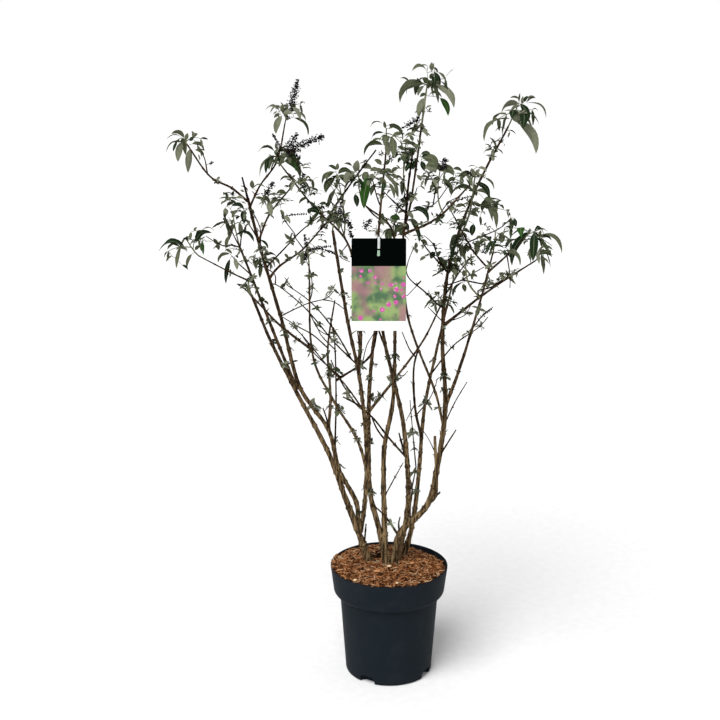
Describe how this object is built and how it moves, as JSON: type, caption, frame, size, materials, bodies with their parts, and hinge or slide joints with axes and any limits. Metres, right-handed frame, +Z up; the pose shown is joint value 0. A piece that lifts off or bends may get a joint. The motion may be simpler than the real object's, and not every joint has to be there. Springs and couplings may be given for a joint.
{
  "type": "potted butterfly bush",
  "caption": "Tall woody shrub in a round nursery pot: bare stems that fan out, pairs of drooping felted leaves and spent flower spikes at their ends, and a plain hang tag.",
  "frame": {"origin": "centre of the flat underside of the pot", "axes": "+Z up along the plant's height; the front, where the tag hangs, faces -Y; +X is to the right seen from the front"},
  "size_m": [1.0481, 0.8005, 1.6389],
  "materials": {
    "pot_plastic": "matte dark anthracite moulded plastic",
    "shredded_bark": "loose reddish-brown bark fibres",
    "old_bark": "dull tan-brown bark with fine lengthwise fissures",
    "young_bark": "dull dark brown young bark",
    "felted_leaf": "matte grey-green felt",
    "tag_card": "satin printed card, plain design",
    "tag_strap": "satin white plastic"
  },
  "bodies": {
    "root": {"bough_back_left": "old_bark", "bough_left": "old_bark", "bough_left_back": "old_bark", "bough_left_front": "old_bark", "bough_low_left": "young_bark", "bough_middle_right": "old_bark", "bough_right_back": "old_bark", "bough_right_front": "old_bark", "bough_top": "old_bark", "bough_top_left": "young_bark", "bough_upper_left": "young_bark", "dead_stump_right": "old_bark", "foliage_back": "felted_leaf", "foliage_back_left": "felted_leaf", "foliage_back_right": "felted_leaf", "foliage_centre": "felted_leaf", "foliage_centre_left": "felted_leaf", "foliage_centre_top": "felted_leaf", "foliage_crown_top": "felted_leaf", "foliage_far_left": "felted_leaf", "foliage_far_right": "felted_leaf", "foliage_far_right_top": "felted_leaf", "foliage_front": "felted_leaf", "foliage_front_left": "felted_leaf", "foliage_front_low": "felted_leaf", "foliage_inner_back": "felted_leaf", "foliage_inner_left": "felted_leaf", "foliage_left": "felted_leaf", "foliage_left_crest": "felted_leaf", "foliage_left_heart": "felted_leaf", "foliage_left_inner": "felted_leaf", "foliage_left_shoulder": "felted_leaf", "foliage_low_left": "felted_leaf", "foliage_right_back": "felted_leaf", "foliage_right_front": "felted_leaf", "foliage_right_heart": "felted_leaf", "foliage_right_inner": "felted_leaf", "foliage_right_shoulder": "felted_leaf", "foliage_right_top": "felted_leaf", "foliage_right_upper": "felted_leaf", "foliage_tall_front": "felted_leaf", "foliage_top_left": "felted_leaf", "growing_mix": "shredded_bark", "hang_tag": "tag_card", "pot": "pot_plastic", "stem_back": "old_bark", "stem_back_right": "old_bark", "stem_left_front": "old_bark", "stem_left_inner": "old_bark", "stem_left_outer": "old_bark", "stem_middle": "old_bark", "stem_right": "old_bark", "stem_tall_front": "old_bark", "tag_loop": "tag_strap", "twig_inner_left": "young_bark", "twig_left_front": "young_bark", "twig_right_front": "young_bark", "twig_top_right": "young_bark", "twig_upper_left": "young_bark"}
  },
  "joints": []
}
